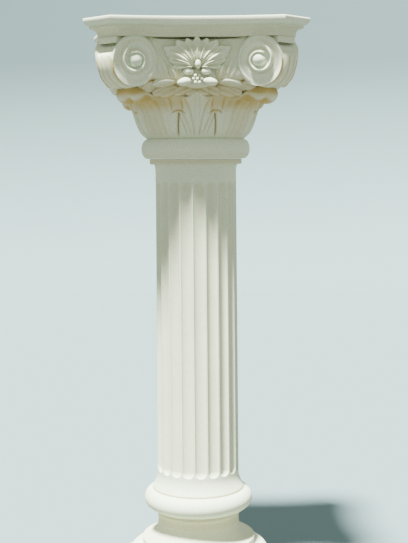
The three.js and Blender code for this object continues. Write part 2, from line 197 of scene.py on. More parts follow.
class StoneFinish(bpy.types.PropertyGroup):
    """Colours of the cast stone"""

    pale: colour("Pale", "Colour of the open surfaces", (0.67, 0.74, 0.545))
    grey: colour("Grey", "Colour of the weathered patches", (0.54, 0.62, 0.44))
    # The ochre is patina, and it also paints shade in the hollows and under the parts
    ochre: colour("Ochre", "Colour that gathers in the recesses", (0.48, 0.35, 0.12))
    grain: length("Grain", "Width of the sandy grain", 1.6)


class StudioSettings(bpy.types.PropertyGroup):
    """Camera, light and floor"""

    distance: length("Distance", "Distance of the camera from the column's axis", 2060)
    eye_height: length("Eye height", "Height of the camera over the floor", 809)
    sideways: length("Sideways", "Shift of the camera to the right", 13.9)
    yaw: angle("Yaw", "Turn of the camera round the column", -2)
    pitch: angle("Pitch", "Tilt of the camera downwards", 5.8)
    roll: angle("Roll", "Roll of the camera", -0.43)
    lens: bpy.props.FloatProperty(name="Lens", description="Focal length in mm", default=73.46)
    sun_side: angle("Sun side", "How far the key light stands to the left", 29)
    sun_height: angle("Sun height", "Height of the key light", 69.5)
    sun_spread: angle("Sun spread", "Angle over which the key light spreads", 7)
    sun_strength: bpy.props.FloatProperty(name="Sun strength", description="Key light", default=32.0)
    sun_colour: colour("Sun colour", "Colour of the key light", (0.98, 1.0, 0.96))
    fill_strength: bpy.props.FloatProperty(name="Fill strength", description="Fill light", default=0.85)
    sky_colour: colour("Sky colour", "Colour of the fill light", (0.93, 1.0, 0.95))
    backdrop: colour("Backdrop", "Colour of the floor and the backdrop", (0.155, 0.225, 0.23))


def smooth(value, low, high):
    """A soft step from 0 at low to 1 at high."""
    share = np.clip((value - low) / (high - low), 0, 1)
    return share * share * (3 - 2 * share)


def blend(first, second, share):
    """A mix of two values."""
    return first + (second - first) * share


def dent(distance, width):
    """A round bump of height 1 with soft sides."""
    return np.exp(-((distance / width) ** 2))


def quarter_turns(points, quarter):
    """The points turned about the column's axis by whole quarters."""
    c, s = [(1, 0), (0, 1), (-1, 0), (0, -1)][quarter]
    x, y, z = points[..., 0], points[..., 1], points[..., 2]
    return np.stack([x * c - y * s, x * s + y * c, z], axis=-1)


class Casting:
    """Gathers grids of points into one mesh, with a value of patina and painted shade for each point."""

    def __init__(self):
        self.points = []
        self.faces = []
        self.patina_and_shade = []
        self.total = 0

    def add(self, grid, patina_and_shade=0.0, closed=False, hub=None):
        """Adds a grid whose faces look away from the hub, or else from the column's axis."""
        rows, columns = grid.shape[:2]
        index = np.arange(rows * columns).reshape(rows, columns)
        if closed:
            index = np.hstack([index, index[:, :1]])
        a, b, c, d = index[:-1, :-1], index[:-1, 1:], index[1:, 1:], index[1:, :-1]
        flat = grid.reshape(-1, 3)
        quads = np.stack([a, b, c, d], axis=-1).reshape(-1, 4)
        corners = flat[quads]
        normals = np.cross(corners[:, 2] - corners[:, 0], corners[:, 3] - corners[:, 1])
        middles = corners.mean(axis=1)
        away = middles - np.array(hub) if hub is not None else middles * np.array([1, 1, 0])
        if (normals * away).sum() < 0:
            quads = quads[:, ::-1]
        self.points.append(flat)
        self.faces.append(quads + self.total)
        self.patina_and_shade.append(np.broadcast_to(patina_and_shade, grid.shape[:2]).reshape(-1))
        self.total += len(flat)

    def add_faces(self, grid, patina_and_shade=0.0, closed=False, hub=None):
        """Adds the same grid on all four faces of the capital."""
        for quarter in range(4):
            turned_hub = None if hub is None else quarter_turns(np.array(hub, float), quarter)
            self.add(quarter_turns(grid, quarter), patina_and_shade, closed, turned_hub)

    def finish(self, name, node, crease=math.radians(50)):
        """Makes the mesh object that stands for a casting of the frame."""
        mesh = bpy.data.meshes.new(name)
        points = np.concatenate(self.points)
        faces = np.concatenate(self.faces)
        mesh.from_pydata(points.tolist(), [], faces.tolist())
        layer = mesh.attributes.new("patina_and_shade", "FLOAT", "POINT")
        layer.data.foreach_set("value", np.clip(np.concatenate(self.patina_and_shade), 0, 1).astype(np.float32))
        mesh.polygons.foreach_set("use_smooth", [True] * len(mesh.polygons))
        mesh.set_sharp_from_angle(angle=crease)
        mesh.validate()
        mesh.materials.append(stone_material(bpy.context.scene.column_stone))
        piece = bpy.data.objects.new(name, mesh)
        bpy.context.scene.collection.objects.link(piece)
        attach(piece, "root")
        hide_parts(node)
        return piece


def stone_material(finish):
    """Sandy cast stone: pale, a little weathered, with ochre in the recesses that is partly patina and
    partly painted shade.
    """
    material = bpy.data.materials.get("cast stone")
    if material:
        return material
    material = bpy.data.materials.new("cast stone")
    material.use_nodes = True
    nodes = material.node_tree.nodes
    links = material.node_tree.links
    shader = nodes["Principled BSDF"]
    shader.inputs["Roughness"].default_value = 0.9
    place = nodes.new("ShaderNodeTexCoord")
    patina_and_shade = nodes.new("ShaderNodeAttribute")
    patina_and_shade.attribute_name = "patina_and_shade"

    def noise(scale, detail):
        """A noise texture in the object's own space."""
        texture = nodes.new("ShaderNodeTexNoise")
        texture.inputs["Scale"].default_value = scale
        texture.inputs["Detail"].default_value = detail
        links.new(place.outputs["Object"], texture.inputs["Vector"])
        return texture.outputs["Fac"]

    def remap(source, from_range, to_range):
        """A value mapped from one range to another."""
        node = nodes.new("ShaderNodeMapRange")
        for name, value in zip(("From Min", "From Max", "To Min", "To Max"), (*from_range, *to_range)):
            node.inputs[name].default_value = value
        links.new(source, node.inputs["Value"])
        return node.outputs["Result"]

    grain = noise(1 / finish.grain, 3)
    weather = remap(noise(9, 4), (0.45, 0.75), (0, 0.6))
    speckle = remap(grain, (0.3, 0.7), (0.8, 1.1))
    open_stone = nodes.new("ShaderNodeMixRGB")
    open_stone.inputs["Color1"].default_value = (*finish.pale, 1)
    open_stone.inputs["Color2"].default_value = (*finish.grey, 1)
    links.new(weather, open_stone.inputs["Fac"])
    # Ochre mixed in by the per-point mask: patina, and painted shade in hollows and undersides
    stain_and_shade = nodes.new("ShaderNodeMixRGB")
    stain_and_shade.inputs["Color2"].default_value = (*finish.ochre, 1)
    links.new(patina_and_shade.outputs["Fac"], stain_and_shade.inputs["Fac"])
    links.new(open_stone.outputs["Color"], stain_and_shade.inputs["Color1"])
    sanded = nodes.new("ShaderNodeVectorMath")
    sanded.operation = "SCALE"
    links.new(stain_and_shade.outputs["Color"], sanded.inputs[0])
    links.new(speckle, sanded.inputs["Scale"])
    links.new(sanded.outputs["Vector"], shader.inputs["Base Color"])
    bump = nodes.new("ShaderNodeBump")
    bump.inputs["Strength"].default_value = 0.35
    bump.inputs["Distance"].default_value = 0.4 * MM
    links.new(grain, bump.inputs["Height"])
    links.new(bump.outputs["Normal"], shader.inputs["Normal"])
    return material


def arc(centre_r, centre_z, radius_r, radius_z, from_deg, to_deg, steps):
    """Points along an elliptical arc in a profile of radius and height."""
    angles = np.radians(np.linspace(from_deg, to_deg, steps + 1))
    return [
        (centre_r + radius_r * math.cos(a), centre_z + radius_z * math.sin(a)) for a in angles
    ]


def turned(profile, segments):
    """A profile of radius and height turned round the column's axis."""
    profile = np.array(profile)
    turn = np.linspace(0, 2 * math.pi, segments, endpoint=False)
    x = profile[:, :1] * np.cos(turn)
    y = profile[:, :1] * np.sin(turn)
    z = np.broadcast_to(profile[:, 1:], x.shape)
    return np.stack([x, y, z], axis=-1)


def frieze_levels(scene):
    """The heights where the frieze starts, over the leaves, and where the abacus does."""
    bell = scene.column_bell
    frieze_z = bell.foot_z + bell.astragal_height + bell.leaf_height
    return frieze_z, frieze_z + scene.column_abacus.frieze_height


def plan(half_width, cut, hollow, steps):
    """The plan of the abacus: hollow sides that end in cut corners."""
    inner = half_width - cut
    share = np.linspace(-1, 1, steps + 1)
    side = np.stack([share * inner, -half_width + hollow * (1 - share**2), share * 0], axis=-1)
    corner_steps = max(2, steps // 6)
    corners = [quarter_turns(side, quarter) for quarter in range(4)]
    loop = []
    for quarter in range(4):
        start = corners[quarter][-1]
        end = corners[(quarter + 1) % 4][0]
        between = np.linspace(0, 1, corner_steps + 1)[1:-1, None]
        loop += [corners[quarter], start + (end - start) * between]
    return np.concatenate(loop)


class COLUMN_OT_base(bpy.types.Operator):
    """Makes the moulded base on its plinth"""

    bl_idname = "column.base"
    bl_label = "Base"

    def execute(self, context):
        sizes = context.scene.column_base
        casting = Casting()
        half = sizes.plinth_width / 2
        edge = sizes.plinth_edge
        steps = np.linspace(0, math.pi / 2, 5)
        rise = [(half - edge + edge * math.sin(a), edge - edge * math.cos(a)) for a in steps]
        sides = rise + [(r, sizes.plinth_height - z) for r, z in reversed(rise)]
        outline = plan(1, sizes.plinth_cut / half, 0, 24)
        ends = [(0, 0), *sides, (0, sizes.plinth_height)]
        grid = np.stack([outline * r + np.array([0, 0, z]) for r, z in ends])
        casting.add(grid, 0, True, (0, 0, sizes.plinth_height / 2))
        lower_z = sizes.plinth_height
        lower = sizes.lower_torus_height / 2
        fillet_z = lower_z + 2 * lower
        scotia_z = fillet_z + sizes.lower_fillet_height
        scotia_top = scotia_z + sizes.scotia_height
        upper_z = scotia_top + sizes.upper_fillet_height
        upper = sizes.upper_torus_height / 2
        top = upper_z + 2 * upper
        throat = sizes.lower_fillet_radius - MM
        belly = sizes.scotia_height * 0.65
        torus_steps, scotia_steps, segments = 40, 30, 192
        profile = [
            (sizes.lower_torus_radius - lower, lower_z - 2 * MM),
            *arc(sizes.lower_torus_radius - lower, lower_z + lower, lower, lower, -82, 80, torus_steps),
            (sizes.lower_fillet_radius, fillet_z),
            (sizes.lower_fillet_radius, scotia_z - MM),
            *arc(throat, scotia_z + belly, throat - sizes.scotia_radius, belly, 270, 180, scotia_steps),
            (sizes.scotia_radius, scotia_top - sizes.scotia_height * 0.15),
            (sizes.upper_fillet_radius - MM, scotia_top - MM),
            (sizes.upper_fillet_radius, scotia_top),
            (sizes.upper_fillet_radius, upper_z),
            *arc(sizes.upper_torus_radius - upper, upper_z + upper, upper, upper, -72, 70, torus_steps),
            (sizes.bed_radius, top - MM),
            (sizes.bed_radius - MM, top),
            (0, top),
        ]
        # Ochre in the hollow moulding, and more of it under the upper torus: patina, and painted shade
        # where the torus hangs over
        hollow_foot = torus_steps + 4
        hollow_head = hollow_foot + scotia_steps
        patina_and_shade = np.zeros((len(profile), 1))
        patina_and_shade[hollow_foot:hollow_head] = 0.18
        patina_and_shade[hollow_head:hollow_head + 6] = 0.4
        casting.add(turned(profile, segments), np.broadcast_to(patina_and_shade, (len(profile), segments)), True)
        casting.finish("base_casting", "base", math.radians(35))
        return {"FINISHED"}


class COLUMN_OT_shaft(bpy.types.Operator):
    """Makes the fluted shaft"""

    bl_idname = "column.shaft"
    bl_label = "Shaft"

    def execute(self, context):
        sizes = context.scene.column_shaft
        casting = Casting()
        top = sizes.foot_z + sizes.height
        neck = top - sizes.ring_height
        flute_foot = sizes.foot_z + sizes.plain_foot
        flute_head = neck - sizes.plain_neck
        pitch = 2 * math.pi / sizes.flutes
        half = (sizes.lower_radius * pitch - sizes.arris_width) / 2
        margin = 0.15 * half
        scoop = np.linspace(-margin, half, 34)
        joint_top = sizes.foot_z + sizes.joint_height
        heights = np.concatenate([
            np.linspace(sizes.foot_z, joint_top, 4)[:-1],
            np.linspace(joint_top, flute_foot - margin, 16)[:-1],
            flute_foot + scoop,
            np.linspace(flute_foot + half, flute_head - half, 14)[1:-1],
            flute_head - scoop[::-1],
            np.linspace(flute_head + margin, neck, 14)[1:],
        ])
        lean = np.linspace(-math.pi / 2, math.pi / 2, 17)
        across = np.append(np.sin(lean) * half / (sizes.lower_radius * pitch), 0.5)
        offset = np.tile(across * pitch * sizes.lower_radius, sizes.flutes)
        turn = (np.repeat(np.arange(sizes.flutes), len(across)) + np.tile(across, sizes.flutes)) * pitch
        turn = turn + sizes.flute_turn - math.pi / 2
        z = heights[:, None]
        foot = np.clip(1 - (z - sizes.foot_z) / sizes.foot_flare_height, 0, 1)
        spread = np.clip(1 - (neck - z) / (sizes.plain_neck / 2), 0, 1)
        radius = blend(sizes.lower_radius, sizes.upper_radius, (z - sizes.foot_z) / sizes.height)
        radius = radius + sizes.foot_flare * foot**2 + sizes.neck_flare * spread**2
        beyond = np.maximum(np.maximum(flute_foot + half - z, z - (flute_head - half)), 0)
        inside = np.clip(1 - (offset**2 + beyond**2) / half**2, 0, 1)
        depth = sizes.flute_depth * inside**0.6
        r = radius - depth - sizes.joint_depth * (1 - smooth(z, sizes.foot_z, joint_top))
        grid = np.stack([r * np.cos(turn), r * np.sin(turn), z + 0 * r], axis=-1)
        joint = 1 - smooth(z, sizes.foot_z + 0.5 * MM, joint_top)
        # Ochre in the flutes: patina and painted shade; the joint line at the foot gets more
        casting.add(grid, 0.22 * smooth(depth / sizes.flute_depth, 0.1, 1) + 0.8 * joint, True)
        ring = [
            (sizes.ring_radius - 3 * MM, neck - MM),
            (sizes.ring_radius - MM, neck),
            (sizes.ring_radius, neck + MM),
            (sizes.ring_radius, top - MM),
            (sizes.ring_radius - MM, top),
            (0, top),
        ]
        inner = sizes.upper_radius + sizes.neck_flare - MM
        # The ring under the capital gets ochre: patina and painted shade
        casting.add(turned([(inner, neck - MM), *ring], 192), 0.4, True, (0, 0, neck + 4 * MM))
        foot_edge = sizes.lower_radius + sizes.foot_flare - sizes.joint_depth
        foot_disc = turned([(0, sizes.foot_z), (foot_edge, sizes.foot_z)], 64)
        casting.add(foot_disc, 0, True, (0, 0, top))
        casting.finish("shaft_casting", "shaft", math.radians(40))
        return {"FINISHED"}


# Outlines of a leaf in the middle of a face and of one under a corner, from foot to tip: shares
# of its reach and of its height
FACE_LEAF = [
    (0, 0), (0.27, 0.14), (0.46, 0.33), (0.6, 0.55), (0.72, 0.73), (0.84, 0.86), (0.94, 0.93),
    (1, 0.98), (0.96, 1.03), (0.82, 1.03), (0.58, 0.98), (0.5, 1.06),
]
CORNER_LEAF = [
    (0, 0), (0.1, 0.14), (0.19, 0.35), (0.26, 0.58), (0.38, 0.75), (0.54, 0.81), (0.66, 0.77),
    (0.79, 0.71), (0.93, 0.77), (1, 0.93), (0.9, 1.06), (0.58, 1.12),
]


def smooth_outline(knots, rows):
    """A smooth curve through the knots of a leaf's outline."""
    knots = np.array(knots, float)
    ends = np.vstack([2 * knots[0] - knots[1], knots, 2 * knots[-1] - knots[-2]])
    at = np.linspace(0, len(knots) - 1 - 1e-9, rows)
    i = at.astype(int)
    t = (at - i)[:, None]
    p0, p1, p2, p3 = ends[i], ends[i + 1], ends[i + 2], ends[i + 3]
    return 0.5 * (
        2 * p1 + (p2 - p0) * t + (2 * p0 - 5 * p1 + 4 * p2 - p3) * t**2
        + (3 * p1 - p0 - 3 * p2 + p3) * t**3
    )


def leaf_row(sizes):
    """The row of leaves round the bell, as a grid of points and its values of patina and painted shade.
    """
    rows = 150
    turn = np.linspace(0, 360, 560, endpoint=False)[None, :]
    # Angles in degrees, from the middle of the nearest face and from the nearest corner
    folded = np.abs((turn + 45) % 90 - 45)
    from_corner = 45 - folded
    half = math.degrees(sizes.leaf_half_angle)
    face = smooth_outline(FACE_LEAF, rows)
    corner = smooth_outline(CORNER_LEAF, rows)
    share = np.linspace(0, len(FACE_LEAF) - 1, rows)[:, None]
    towards_corner = smooth(folded, 25, 43)
    on_leaf = smooth(share, 0, 0.8) * (1 - smooth(share, 7.6, 8.4))
    on_face = np.where(folded < half, 1.0, 0.0)

    # The outline, which dips between the lobes of a face leaf
    reach = blend(
        face[:, :1] * (sizes.face_leaf_radius - sizes.foot_radius),
        corner[:, :1] * (sizes.corner_leaf_radius - sizes.foot_radius), towards_corner,
    )
    up = blend(face[:, 1:], corner[:, 1:], towards_corner)
    dip = 0.13 * smooth(folded, 1, 8) - 0.09 * smooth(folded, 9, half - 1)
    dip = dip + 0.07 * smooth(folded, half + 1, half + 7) - 0.05 * smooth(folded, half + 7, 38)
    rise = up * (1 - dip * (1 - towards_corner) * smooth(share, 2, 6))

    # The gap between two leaves, under a brow
    gap = dent(folded - (half + 1.9 - 7 * up), 0.75) * (1 - smooth(up, 0.5, 0.58))
    off_gap = folded - half + 1.6
    brow_line = 0.61 - 0.05 * (off_gap / 6) ** 2
    brow = dent(up - brow_line, 0.02) * (1 - smooth(np.abs(off_gap), 4.5, 8))
    brow = brow * (1 - smooth(share, 5, 5.5))

    # The midrib and the veins
    midrib = sizes.midrib_height * dent(folded, 1.7 - 0.7 * np.clip(up, 0, 1))
    midrib = midrib - 1.2 * MM * dent(folded - 2.4, 0.6) * (1 - smooth(up, 0.8, 0.95))
    veins = 0
    for start, end, top in ((2.4, 9.5, 0.95), (5.5, 14.5, 0.62), (10, 17, 0.56)):
        line = blend(start, end, np.clip(up / top, 0, 1.1) ** 1.4)
        veins = veins + dent(folded - line, 0.68) * (1 - smooth(up, top, top + 0.08))
    for line in (12.9, 22.6):
        upper = smooth(up, 0.58, 0.66) * (1 - smooth(share, 5.5, 7))
        veins = veins + dent(folded - line, 0.68) * upper
    veins = veins * smooth(up, 0.03, 0.15) * np.where(folded < half + 6, 1, 0)
    fan = 0
    for start, end, weight in ((5, 3.6, 0.6), (12, 9.5, 1), (19, 17, 0.4)):
        line = blend(start, end, np.clip(up, 0, 1.2))
        fan = fan + weight * dent(from_corner - line, 1.5)
    fan = fan * smooth(folded, half + 1, half + 4)
    puff = np.cos((folded - half / 2) / half * math.pi) * on_face
    puff = puff + np.cos((from_corner - 13) / 26.5 * math.pi) * (1 - on_face)
    carving = (
        midrib + 1.6 * MM * (puff - 1) - sizes.vein_depth * (veins + fan)
        - sizes.gap_depth * gap - 2.5 * MM * brow
    ) * on_leaf

    # The curled and lobed tip under each corner
    lobes = dent(from_corner - 3.8, 1.5) + 1.2 * dent(from_corner - 9.5, 1.8)
    curled = smooth(share, 3.5, 6) * smooth(folded, 24, 30)
    reach = reach - 4.5 * MM * lobes * curled - 9 * MM * smooth(from_corner, 2, 10) * curled
    rise = rise + 0.07 * lobes * curled * smooth(share, 6, 8)
    rise = rise + 0.12 * smooth(share, 9.2, 11) * smooth(folded, 16, 24)

    # Ochre in the lines, over the tops of the leaves and behind them: patina, and painted shade in the
    # grooves and under the parts above
    patina_and_shade = (0.38 * veins + 0.2 * fan + 0.9 * gap + 0.8 * brow) * on_leaf + 0.12
    patina_and_shade = patina_and_shade + 0.6 * smooth(up, 0.5, 0.8) * (0.3 + 0.7 * smooth(folded, 4, 14)) * on_leaf
    patina_and_shade = patina_and_shade + 0.9 * smooth(share, 8.2, 9.5) + 0.22 * towards_corner * on_leaf
    patina_and_shade = patina_and_shade + 0.35 * lobes * curled

    # The carving stands out at right angles to the outline
    r = sizes.foot_radius + reach
    z = sizes.foot_z + sizes.astragal_height + sizes.leaf_height * rise
    dr = np.gradient(r, axis=0)
    dz = np.gradient(z, axis=0)
    norm = np.hypot(dr, dz) + 1e-9
    r = r + carving * dz / norm
    z = z - carving * dr / norm
    radians = np.radians(turn - 90)
    return np.stack([r * np.cos(radians), r * np.sin(radians), z], axis=-1), patina_and_shade


class COLUMN_OT_bell(bpy.types.Operator):
    """Makes the astragal and the bell with its row of leaves"""

    bl_idname = "column.bell"
    bl_label = "Bell and leaves"

    def execute(self, context):
        sizes = context.scene.column_bell
        casting = Casting()
        half_astragal = sizes.astragal_height / 2
        leaf_z = sizes.foot_z + sizes.astragal_height
        depth, bed_radius, segments = 12 * MM, 85 * MM, 192
        roll = arc(
            sizes.astragal_radius - depth, sizes.foot_z + half_astragal, depth, half_astragal, -88, 86, 30
        )
        profile = [(0, sizes.foot_z), (bed_radius, sizes.foot_z), *roll, (sizes.foot_radius, leaf_z)]
        heights = np.array(profile)[:, 1:] - sizes.foot_z
        # More ochre towards the foot of the astragal, where it faces down: patina and painted shade
        low_patina_and_shade = 0.25 * (1 - smooth(heights, 4 * MM, half_astragal * 0.9))
        casting.add(turned(profile, segments), np.broadcast_to(low_patina_and_shade, (len(profile), segments)), True)
        grid, patina_and_shade = leaf_row(sizes)
        casting.add(grid, patina_and_shade, True, (0, 0, leaf_z + sizes.leaf_height))
        casting.finish("bell_casting", "capital")
        return {"FINISHED"}


def volute_frame(sizes, abacus_z):
    """The eye of the front face's right-hand volute, and the directions along, up and out."""
    swing, lean = sizes.swing, sizes.lean
    along = np.array([math.cos(swing), -math.sin(swing), 0])
    out = np.array([
        -math.sin(swing) * math.cos(lean), -math.cos(swing) * math.cos(lean), -math.sin(lean)
    ])
    up = np.cross(out, along)
    eye_z = abacus_z - sizes.half_height * math.cos(lean) + 2 * MM
    eye = np.array([sizes.eye_offset, -sizes.eye_reach, eye_z])
    return eye, along, up, out


def volute_face(sizes, abacus_z, phi):
    """A volute's carved face, as a grid of points and its values of patina and painted shade."""
    eye, along, up, out = volute_frame(sizes, abacus_z)
    share = np.linspace(0.004, 1, 70)[:, None]
    u = sizes.half_width * share * np.cos(phi)
    v = sizes.half_height * share * np.sin(phi)
    rho = np.hypot(u, v)
    w = blend(-sizes.channel_depth, -sizes.border_depth, smooth(rho, 19 * MM, 27 * MM))
    # Ochre near the rim and beside the spiral ridge: patina and painted shade
    patina_and_shade = 0.2 * dent(share - 0.8, 0.08)

    # The spiral ridge winds in from the top, over a little more than a lap
    swept = np.degrees(math.pi / 2 - phi) % 360
    for lap in (0, 360):
        at = swept + lap
        line = sizes.ridge_end + (sizes.ridge_start - sizes.ridge_end) * np.exp(-at / 85)
        there = smooth(at, -20, 60) * (1 - smooth(at, 380, 430))
        ridge = dent(rho - line, sizes.ridge_width / 2) * there
        w = np.maximum(w, blend(w, sizes.ridge_height, ridge))
        # Painted shade along the ridge's outer side
        patina_and_shade = patina_and_shade + 0.35 * dent(rho - line - 5 * MM, 2 * MM) * there

    # The ball at the eye
    from_ball = np.hypot(u + MM, v - MM)
    inside = np.clip(1 - (from_ball / sizes.bulb_radius) ** 2, 0, 1)
    ball = blend(-sizes.channel_depth, sizes.bulb_height, np.sqrt(inside))
    w = np.where(inside > 0, np.maximum(w, ball), w)

    # The rim is bevelled on the side of the palmette, dished on the side of the corner and
    # nearly plain at the bottom
    plain_bottom = 1 - 0.75 * smooth(-np.sin(phi), 0.6, 0.95)
    lip = sizes.lip * smooth(share, 0.8, 0.9) * plain_bottom
    bevelled = w + lip - sizes.bevel * np.clip((share - 0.9) / 0.1, 0, 1) ** 1.3
    dished = w + sizes.dish * np.clip((share - 0.82) / 0.18, 0, 1) * plain_bottom
    corner_side = smooth(np.cos(phi + math.radians(40)), -0.35, 0.45)
    w = blend(bevelled, dished, corner_side)
    return eye + u[..., None] * along + v[..., None] * up + w[..., None] * out, patina_and_shade


def volute_band(sizes, rim, far_rim, phi):
    """The band between the rims of a corner's volutes, as a grid and its values of patina and painted
    shade.
    """
    q = np.linspace(0, 1, 26)[:, None]
    inner = np.clip((q - 0.1) / 0.8, 0, 1)
    arch = np.sin(math.pi * inner)
    away = np.clip(np.cos(phi), 0, 1)

    # Three tongues lie side by side, each with a round top
    third = np.abs(inner * 2.999 % 1 - 0.5) * 2
    height = sizes.half_height * np.sin(phi)
    on_tongue = smooth(sizes.tongue_top - 9 * MM * third**2 - height, 0, 3 * MM)
    tongues = np.sqrt(np.clip(1 - third**2, 0, 1)) * on_tongue

    # Over them the band is hollow, most of all under the block
    under_block = smooth(np.sin(phi), 0.55, 0.7)
    swell = (sizes.band_bulge * arch * (1 - under_block) + sizes.tongue_height * tongues) * away
    hollow = sizes.band_hollow * smooth(np.sin(phi), 0.26, 0.4) + 2 * MM * under_block
    swell = swell - hollow * np.sqrt(np.clip(arch, 0, 1))
    diagonal = np.array([1, -1, 0]) / math.sqrt(2)
    band = blend(rim, far_rim, q[..., None]) + swell[..., None] * diagonal
    band[..., 2] -= sizes.band_bulge * arch * np.clip(-np.sin(phi), 0, 1)
    # Ochre between the tongues and along the rims: patina and painted shade in the creases
    patina_and_shade = 0.1 + 0.65 * third**3 * on_tongue
    return band, patina_and_shade + 0.3 * (1 - smooth(np.minimum(q, 1 - q), 0, 0.12)) * away


class COLUMN_OT_volutes(bpy.types.Operator):
    """Makes the two volutes of each corner and the band between them"""

    bl_idname = "column.volutes"
    bl_label = "Volutes"

    def execute(self, context):
        sizes = context.scene.column_volutes
        casting = Casting()
        abacus_z = frieze_levels(context.scene)[1]
        phi = np.linspace(0, 2 * math.pi, 144, endpoint=False)[None, :]
        face, patina_and_shade = volute_face(sizes, abacus_z, phi)
        mirrored = np.stack([-face[..., 1], -face[..., 0], face[..., 2]], axis=-1)
        rim, far_rim = face[-1], mirrored[-1]
        band, band_patina_and_shade = volute_band(sizes, rim, far_rim, phi)
        middle = (rim.mean(axis=0) + far_rim.mean(axis=0)) / 2
        for grid, tint in ((face, patina_and_shade), (mirrored, patina_and_shade), (band, band_patina_and_shade)):
            casting.add_faces(grid, tint, True, middle)
        casting.finish("volutes_casting", "capital")
        return {"FINISHED"}


def lobe(root, bend, tip, width, crest, ribs=1, blunt=0.5, shape=0.9, skirt=16 * MM, tint=0.0):
    """A carved lobe from root to tip, each given as across, height and reach from the axis.

    It curves towards the bend, if there is one. Its crest is ribbed, and its edges fall back by
    the skirt. A lower blunt makes its ends fuller, and shape moves its widest part.
    """
    s = np.linspace(0, 1, 30)[:, None]
    c = np.sin(np.linspace(-math.pi / 2, math.pi / 2, 9 + 6 * ribs))[None, :]
    root, tip = np.array(root, float), np.array(tip, float)
    bend = (root + tip) / 2 if bend is None else np.array(bend, float)
    spine = (1 - s) ** 2 * root + 2 * s * (1 - s) * bend + s**2 * tip
    run = 2 * (1 - s) * (bend - root) + 2 * s * (tip - bend)
    size = np.hypot(run[:, :1], run[:, 1:2])
    body = np.clip(np.sin(math.pi * s**shape), 0, 1)
    half = width / 2 * body**blunt
    x = spine[:, :1] - run[:, 1:2] / size * c * half
    z = spine[:, 1:2] + run[:, :1] / size * c * half
    dome = np.sqrt(np.clip(1 - c**2, 0, 1))
    # Ochre at the edges and towards the root paints shade round the lobe; the tint adds more ochre,
    # patina and painted shade
    patina_and_shade = tint + 0.7 * np.abs(c) ** 5 + 0.25 * (1 - s) ** 2
    if ribs > 1:
        odd = ribs % 2
        ribbed = 0.72 + 0.28 * np.cos((c * (ribs - odd) + odd - 1) * math.pi)
        # Painted shade in the grooves between the ribs
        patina_and_shade = patina_and_shade + 0.35 * (1 - ribbed * dome / (dome + 1e-6))
        dome = dome * ribbed
    reach = spine[:, 2:] + crest * dome * body**0.5 - skirt * np.abs(c) ** 16
    return np.stack([x, -reach, z], axis=-1), patina_and_shade


# The small leaves over the rim right of the middle: where each starts and ends, from the middle
# of the rim, and its width, all in millimetres
RIM_LEAVES = [
    ((2, 7), (21, -3), 18), ((13, 9), (41, -3), 20), ((32, 8), (66, -5), 22), ((50, 7), (77, -4), 16),
]

# The lobes round the flower right of its middle: root, bend and tip, each as across, up and out
# from the flower, then width and crest, all in millimetres, and how the lobe is carved
SPRAYS = [
    ((5.52, 10.34, -2), None, (24.48, 11.66, -1), 15, 9, {"skirt": 22 * MM}),
    ((9.2, -3.74, -2), None, (34.8, -8.26, -1), 16, 9, {"skirt": 22 * MM}),
    ((36, -1, -7), None, (46, 25, -6), 20, 7.5, {"ribs": 3, "blunt": 0.4, "shape": 1.0, "tint": 0.1}),
    ((37, -6, -9), (57, -1, -8), (77, -11, -10), 19, 6, {"ribs": 3, "blunt": 0.45, "tint": 0.1}),
    ((54, 1, -6), None, (67, 37, -6), 23, 7, {"ribs": 2, "blunt": 0.4}),
]

# The bud over the flower and the pad behind it, in the same terms
MIDDLE_LOBES = [
    ((1, 15, 4), None, (1, 32, 4), 12, 8, {"skirt": 22 * MM}),
    ((-34, 2, -9), None, (34, 2, -9), 40, 5, {"blunt": 0.35, "shape": 1.0}),
]

# The flower's beads, across and up from its middle in millimetres
BEADS = [(-3.5, 4), (3.5, 4), (-7, -1.5), (0, -1.5), (7, -1.5), (-3.5, -7.5), (3.5, -7.5)]

# The palmette's lobes right of its middle: the angle over the level, the length from the root in
# millimetres, half of the angle it spans, how far it stands behind the middle lobe in
# millimetres, and how blunt its tip is
PALMETTE = [
    (90, 54, 13, 0, 1.7), (70, 53, 13, 1.5, 2.4), (52, 59, 13, 0.5, 2.0), (31, 69, 14, 1, 1.3),
    (15, 53, 10, 4, 1.6), (1, 44, 11, 5, 1.6),
]


